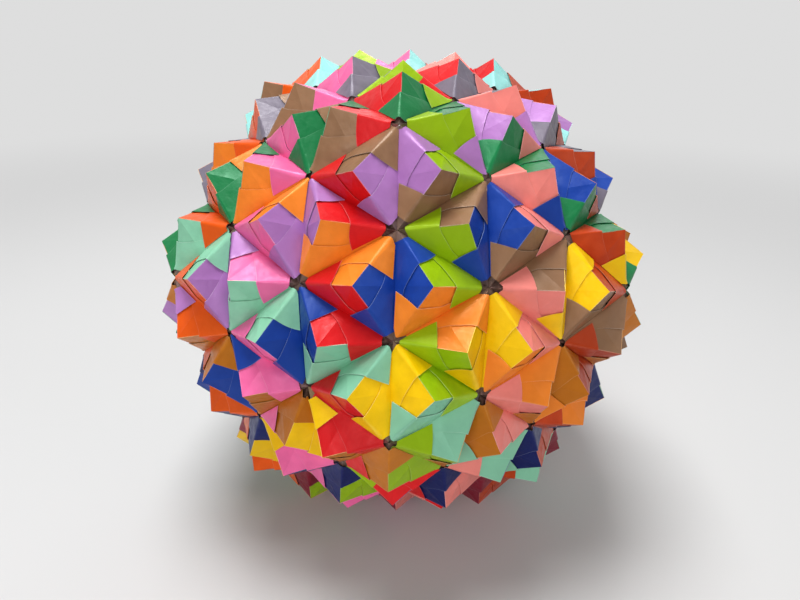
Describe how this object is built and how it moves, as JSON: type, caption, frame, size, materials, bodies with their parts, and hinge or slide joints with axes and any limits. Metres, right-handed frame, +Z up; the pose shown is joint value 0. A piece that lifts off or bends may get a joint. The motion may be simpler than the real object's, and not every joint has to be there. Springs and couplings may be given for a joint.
{
  "type": "kusudama paper ball",
  "caption": "Spiky ball of interlocked folded paper units in many colours, with three-sided points and small star-shaped hollows between them.",
  "frame": {"origin": "centre of the ball", "axes": "+Z straight up through a corner where six points meet, -Y to the front, +X to the right"},
  "size_m": [0.212, 0.2188, 0.2078],
  "materials": {
    "brown_paper": "dyed folding paper, satin, with sharp creases and pale cut edges",
    "lavender_paper": "dyed folding paper, satin, with sharp creases and pale cut edges",
    "ochre_paper": "dyed folding paper, satin, with sharp creases and pale cut edges",
    "lime_paper": "dyed folding paper, satin, with sharp creases and pale cut edges",
    "red_paper": "dyed folding paper, satin, with sharp creases and pale cut edges",
    "aqua_paper": "dyed folding paper, satin, with sharp creases and pale cut edges",
    "green_paper": "dyed folding paper, satin, with sharp creases and pale cut edges",
    "rust_paper": "dyed folding paper, satin, with sharp creases and pale cut edges",
    "deep_orange_paper": "dyed folding paper, satin, with sharp creases and pale cut edges",
    "mint_paper": "dyed folding paper, satin, with sharp creases and pale cut edges",
    "yellow_paper": "dyed folding paper, satin, with sharp creases and pale cut edges",
    "crimson_paper": "dyed folding paper, satin, with sharp creases and pale cut edges",
    "orange_paper": "dyed folding paper, satin, with sharp creases and pale cut edges",
    "blue_paper": "dyed folding paper, satin, with sharp creases and pale cut edges",
    "navy_paper": "dyed folding paper, satin, with sharp creases and pale cut edges",
    "salmon_paper": "dyed folding paper, satin, with sharp creases and pale cut edges",
    "hot_pink_paper": "dyed folding paper, satin, with sharp creases and pale cut edges",
    "grey_paper": "dyed folding paper, satin, with sharp creases and pale cut edges"
  },
  "bodies": {
    "root": {"brown_ring": "brown_paper", "lavender_ring": "lavender_paper", "ochre_ring": "ochre_paper", "lime_ring": "lime_paper", "red_ring": "red_paper", "aqua_ring": "aqua_paper", "green_ring": "green_paper", "rust_ring": "rust_paper", "deep_orange_ring": "deep_orange_paper", "mint_ring": "mint_paper", "yellow_ring": "yellow_paper", "crimson_ring": "crimson_paper", "orange_girdle": "orange_paper", "blue_girdle": "blue_paper", "navy_girdle": "navy_paper", "salmon_girdle": "salmon_paper", "hot_pink_girdle": "hot_pink_paper", "grey_girdle": "grey_paper"}
  },
  "joints": []
}
